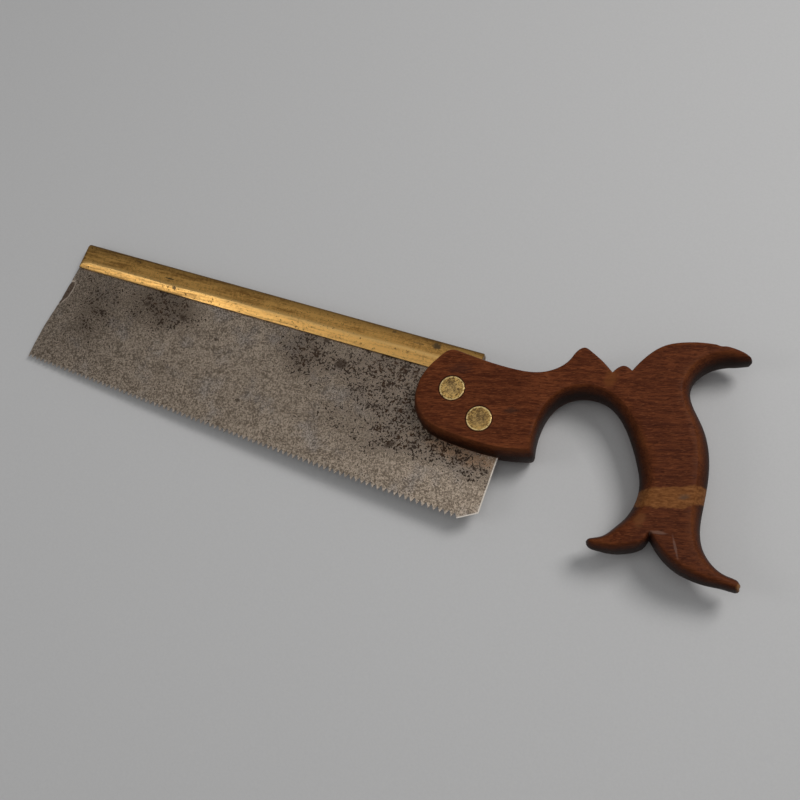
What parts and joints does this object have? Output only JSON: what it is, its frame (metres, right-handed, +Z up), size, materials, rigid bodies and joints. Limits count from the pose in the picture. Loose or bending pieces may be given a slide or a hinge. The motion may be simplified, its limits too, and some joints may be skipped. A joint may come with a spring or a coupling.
{
  "type": "back saw",
  "caption": "Small back saw: toothed steel plate stiffened by a folded brass back, held in an open wooden pistol-grip handle by split-nut saw screws.",
  "frame": {"origin": "centre of the footprint, on the plane the handle's side lies on", "axes": "+X along the spine from the toe to the handle, +Y from the teeth towards the spine, +Z up out of the side with the bolt heads; the saw lies on its side"},
  "size_m": [0.3862, 0.1166, 0.0222],
  "materials": {
    "steel": "old spring steel, grey-brown, finely pitted and rust-freckled",
    "brass": "dull aged brass with brown patina, brighter on the filed bevel",
    "screw_brass": "aged brass, filed flat and flush, mottled",
    "wood": "reddish-brown oiled hardwood, fine grain, worn edges, one pale band where the finish is lost"
  },
  "bodies": {
    "saw": {"saw_plate": "steel", "brass_back": "brass", "handle": "wood"},
    "upper_nut": {"split_nut_upper": "screw_brass"},
    "upper_bolt": {"saw_bolt_upper": "screw_brass"},
    "lower_nut": {"split_nut_lower": "screw_brass"},
    "lower_bolt": {"saw_bolt_lower": "screw_brass"}
  },
  "joints": [
    {"name": "upper_nut_turn", "type": "hinge", "parent": "saw", "child": "upper_nut", "pos_m": [0.04054, 0.00004, 0.0022], "axis": [0, 0, -1], "range_deg": [0, 1080]},
    {"name": "upper_bolt_slide", "type": "slide", "parent": "saw", "child": "upper_bolt", "axis": [0, 0, 1], "range_m": [0, 0.00381]},
    {"name": "lower_nut_turn", "type": "hinge", "parent": "saw", "child": "lower_nut", "pos_m": [0.05824, -0.01076, 0.0022], "axis": [0, 0, -1], "range_deg": [0, 1080]},
    {"name": "lower_bolt_slide", "type": "slide", "parent": "saw", "child": "lower_bolt", "axis": [0, 0, 1], "range_m": [0, 0.00381]}
  ],
  "couplings": [
    {"joint": "upper_bolt_slide", "follows": "upper_nut_turn", "m_per_rad": 0.00020213},
    {"joint": "lower_bolt_slide", "follows": "lower_nut_turn", "m_per_rad": 0.00020213}
  ]
}
